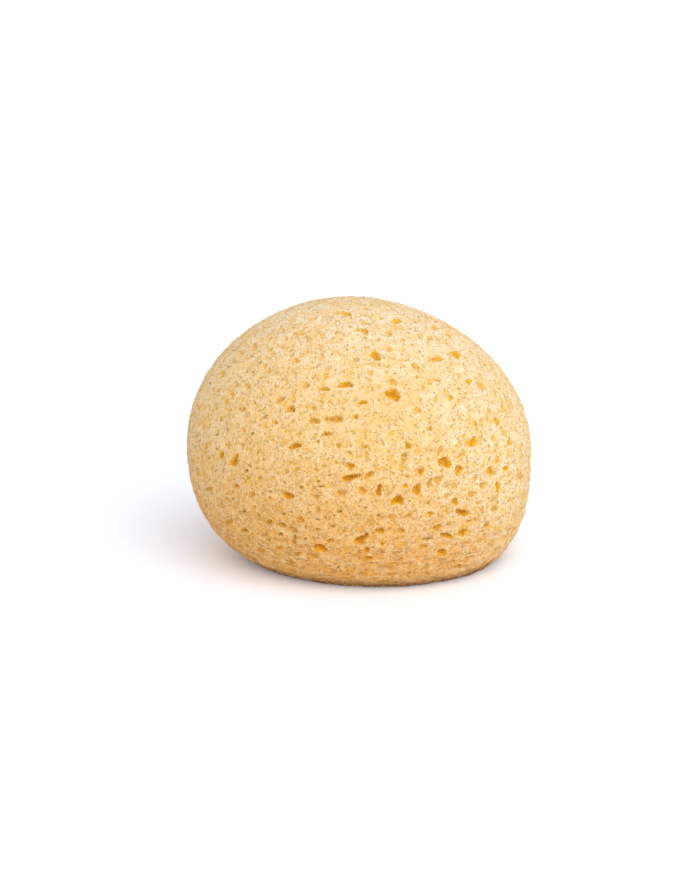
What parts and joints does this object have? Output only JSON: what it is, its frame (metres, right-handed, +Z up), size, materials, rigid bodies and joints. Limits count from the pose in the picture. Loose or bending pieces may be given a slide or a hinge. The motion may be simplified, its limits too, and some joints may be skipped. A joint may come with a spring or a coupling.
{
  "type": "sea sponge",
  "caption": "Round natural bath sponge: a squat dome that leans a little, flattened underneath where it rests, its skin sunk with open pores of many sizes.",
  "frame": {"origin": "below the middle of the body's bounding box, on the resting plane", "axes": "+Z up, away from the resting face; +X along the widest direction, to the right as the picture sees it; -Y towards the picture's eye"},
  "size_m": [0.1394, 0.1118, 0.1084],
  "materials": {
    "sponge_skin": "matte, dry, softly fibrous"
  },
  "bodies": {
    "root": {"sponge": "sponge_skin"}
  },
  "joints": []
}
